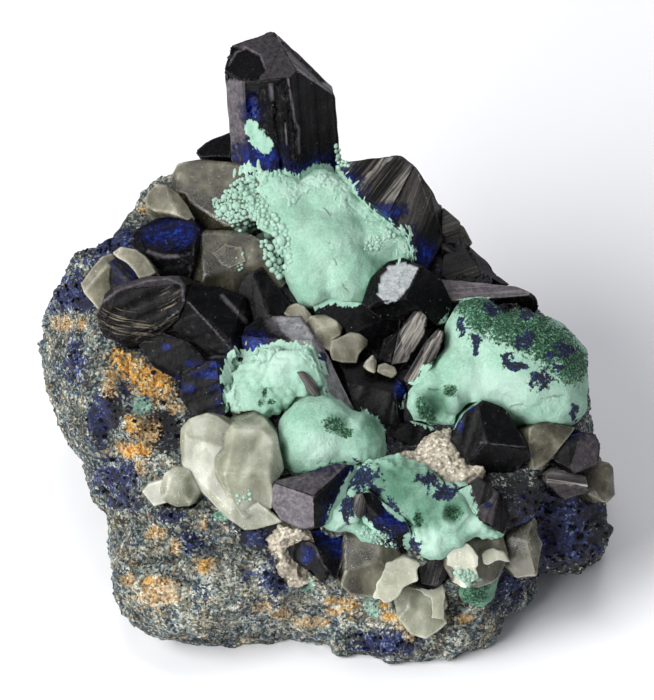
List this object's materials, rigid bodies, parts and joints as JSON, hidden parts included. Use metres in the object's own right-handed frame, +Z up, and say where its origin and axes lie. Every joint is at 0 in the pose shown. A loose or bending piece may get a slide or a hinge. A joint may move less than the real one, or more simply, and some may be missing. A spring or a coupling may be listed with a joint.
{
  "type": "azurite and malachite specimen",
  "caption": "Natural mineral specimen: near-black blocky azurite crystals, mint malachite masses and grey calcite on a sloping lump of speckled ore that rests on a flat cut.",
  "frame": {"origin": "centre of the bounding box, on the flat cut face that the specimen rests on", "axes": "+Z up, +X to the right and -Y towards someone who looks at the display face, which leans back from them"},
  "size_m": [0.0718, 0.059, 0.0569],
  "materials": {
    "ore": "rough granular dark grey-green, with ochre and blue specks",
    "azurite": "near-black glassy crystal faces, bright blue in thin zones",
    "malachite": "mint green, velvety and dull",
    "calcite": "cloudy grey-beige crystal, frosted",
    "calcite_crust": "rough cream crust"
  },
  "bodies": {
    "root": {"azurite_blades": "azurite", "azurite_blue_ridge": "azurite", "azurite_coated_crystal": "azurite", "azurite_front_chip": "azurite", "azurite_front_crystal": "azurite", "azurite_front_pair": "azurite", "azurite_grey_wedge": "azurite", "azurite_hollow_crystal": "azurite", "azurite_left_cluster": "azurite", "azurite_middle_crystal": "azurite", "azurite_mirror_crystal": "azurite", "azurite_rear_left_crystal": "azurite", "azurite_right_crystal": "azurite", "azurite_right_end": "azurite", "azurite_right_ridge": "azurite", "azurite_shaded_crystal": "azurite", "azurite_striated_crystal": "azurite", "azurite_tower": "azurite", "azurite_upper_left_crystal": "azurite", "calcite_centre": "calcite", "calcite_crust_front": "calcite_crust", "calcite_crust_hollow": "calcite_crust", "calcite_end": "calcite", "calcite_front_block": "calcite", "calcite_front_left": "calcite", "calcite_front_low": "calcite", "calcite_front_right": "calcite", "calcite_left_plate": "calcite", "calcite_left_shells": "calcite", "calcite_rear": "calcite", "calcite_right": "calcite", "calcite_small_teeth": "calcite", "calcite_tooth": "calcite", "calcite_upper_left": "calcite", "malachite_centre_ball": "malachite", "malachite_frilled_crust": "malachite", "malachite_front_crust": "malachite", "malachite_green_ball": "malachite", "malachite_main_mass": "malachite", "malachite_right_dome": "malachite", "ore_matrix": "ore"}
  },
  "joints": []
}
